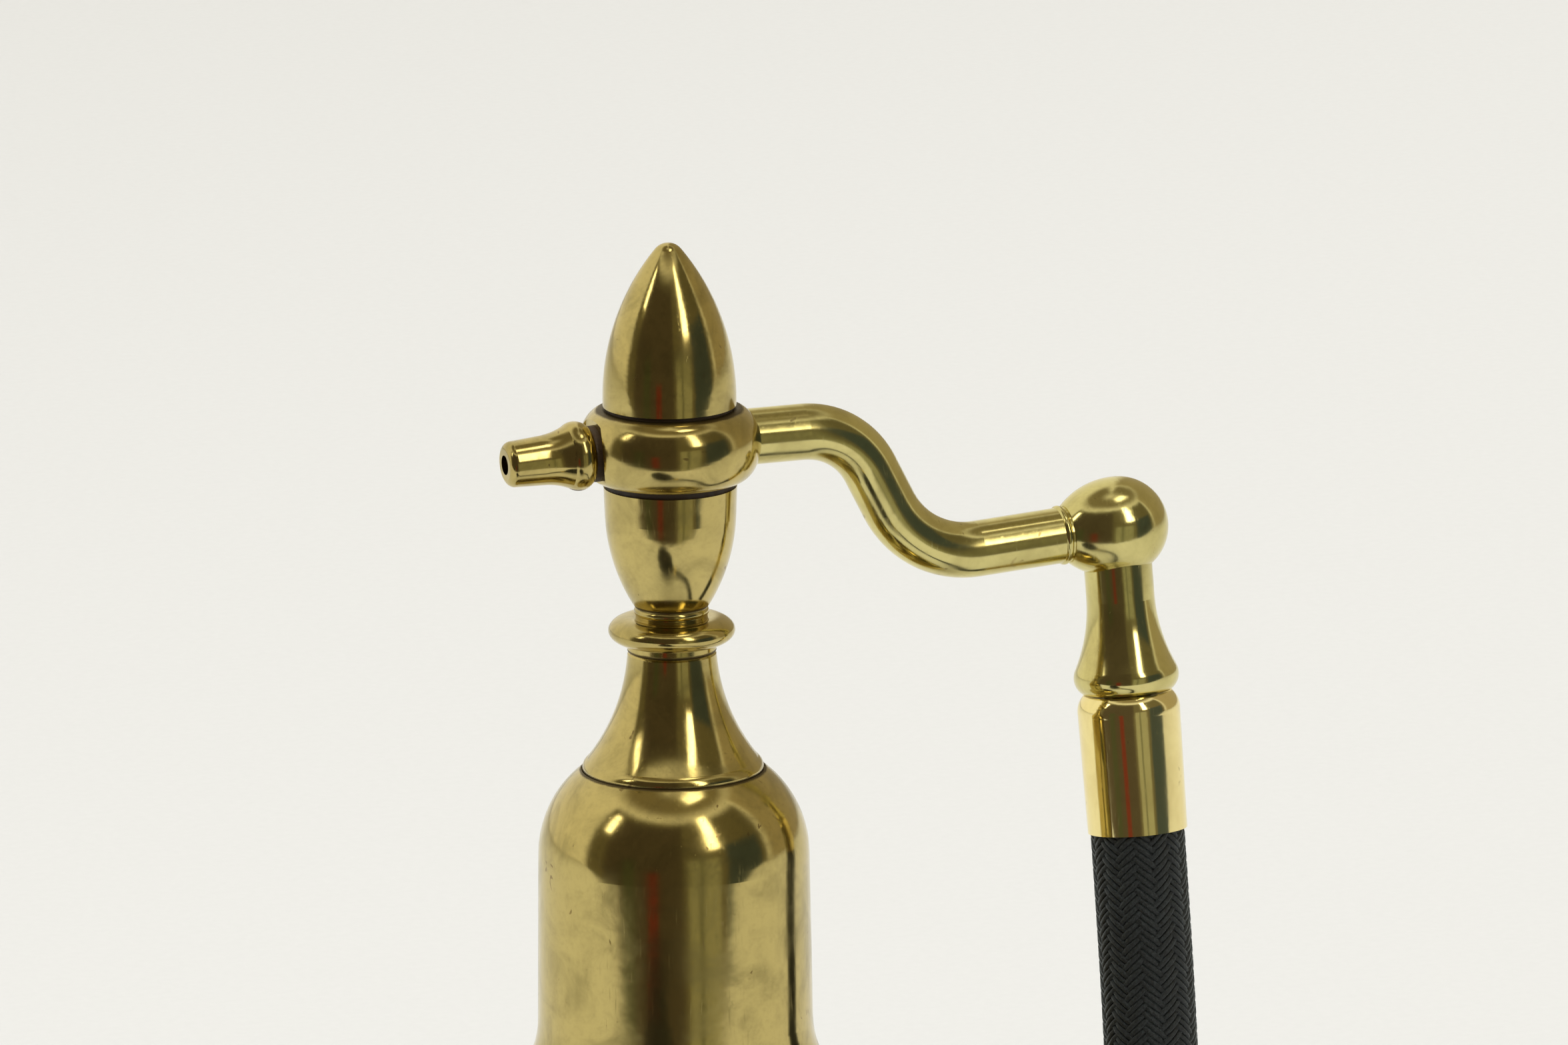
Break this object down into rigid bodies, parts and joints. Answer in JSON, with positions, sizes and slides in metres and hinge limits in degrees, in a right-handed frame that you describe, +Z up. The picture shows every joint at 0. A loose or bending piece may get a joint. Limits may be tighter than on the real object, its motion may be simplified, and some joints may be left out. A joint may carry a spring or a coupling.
{
  "type": "perfume atomiser",
  "caption": "Brass table atomiser: round bottle, screw-in spray head, swivelling spray ring with nozzle, gooseneck air arm, braided hose and rubber squeeze bulb.",
  "frame": {"origin": "centre of the base, on the surface that the bottle stands on", "axes": "+Z up along the bottle's and stem's axis, +X towards the air arm, -X the way the nozzle sprays"},
  "size_m": [0.1323, 0.1411, 0.1261],
  "materials": {
    "aged_brass": "polished and tarnished",
    "tube_brass": "polished, finely scratched",
    "bright_brass": "bright polished",
    "inner_brass": "turned",
    "dark_washer": "oiled and grimy",
    "base_felt": "felt",
    "black_braid": "braided yarn, slight sheen",
    "black_rubber": "satin"
  },
  "bodies": {
    "bottle": {"bottle_upper": "aged_brass", "bottle_lower": "aged_brass", "foot_ring": "aged_brass", "base_felt": "base_felt", "neck_bush": "inner_brass"},
    "gasket": {"neck_gasket": "dark_washer"},
    "head": {"neck_cone": "aged_brass", "knuckle_ring": "aged_brass", "cup": "aged_brass", "hollow_stem": "inner_brass", "siphon_tube": "inner_brass", "lower_washer": "dark_washer"},
    "collar": {"spray_ring": "aged_brass", "ring_bush": "inner_brass", "jet_tube": "inner_brass", "nozzle_nipple": "inner_brass", "air_arm": "tube_brass", "arm_bead": "tube_brass", "ball_elbow": "tube_brass", "hose_nipple": "inner_brass", "hose_ferrule": "bright_brass", "air_hose": "black_braid", "bulb_connector": "bright_brass", "squeeze_bulb": "black_rubber", "valve_housing": "bright_brass"},
    "valve": {"valve_disc": "black_rubber"},
    "nozzle_seal": {"nozzle_washer": "dark_washer"},
    "nozzle": {"nozzle_cap": "aged_brass"},
    "acorn_seal": {"acorn_washer": "dark_washer"},
    "acorn": {"acorn_nut": "aged_brass"}
  },
  "joints": [
    {"name": "head_lift", "type": "slide", "parent": "bottle", "child": "gasket", "axis": [0, 0, 1], "range_m": [0, 0.0045]},
    {"name": "head_turn", "type": "hinge", "parent": "gasket", "child": "head", "pos_m": [0, 0, 0.081], "axis": [0, 0, 1], "range_deg": [0, 1080.5]},
    {"name": "ring_swivel", "type": "hinge", "parent": "head", "child": "collar", "pos_m": [0, 0, 0.1091], "axis": [0, 0, 1], "continuous": true},
    {"name": "acorn_lift", "type": "slide", "parent": "head", "child": "acorn_seal", "axis": [0, 0, 1], "range_m": [0, 0.005]},
    {"name": "acorn_turn", "type": "hinge", "parent": "acorn_seal", "child": "acorn", "pos_m": [0, 0, 0.1124], "axis": [0, 0, 1], "range_deg": [0, 1800.5]},
    {"name": "nozzle_advance", "type": "slide", "parent": "collar", "child": "nozzle_seal", "axis": [-0.9993, 0, -0.0384], "range_m": [0, 0.003]},
    {"name": "nozzle_turn", "type": "hinge", "parent": "nozzle_seal", "child": "nozzle", "pos_m": [-0.0072, 0, 0.10882], "axis": [-0.9993, 0, -0.0384], "range_deg": [0, 1440.5]},
    {"name": "intake_valve", "type": "slide", "parent": "collar", "child": "valve", "axis": [0.9643, -0.0551, -0.259], "range_m": [0, 0.0012]}
  ],
  "couplings": [
    {"joint": "head_turn", "follows": "head_lift", "rad_per_m": 4188.8},
    {"joint": "acorn_turn", "follows": "acorn_lift", "rad_per_m": 6283.2},
    {"joint": "nozzle_turn", "follows": "nozzle_advance", "rad_per_m": 8377.6}
  ]
}
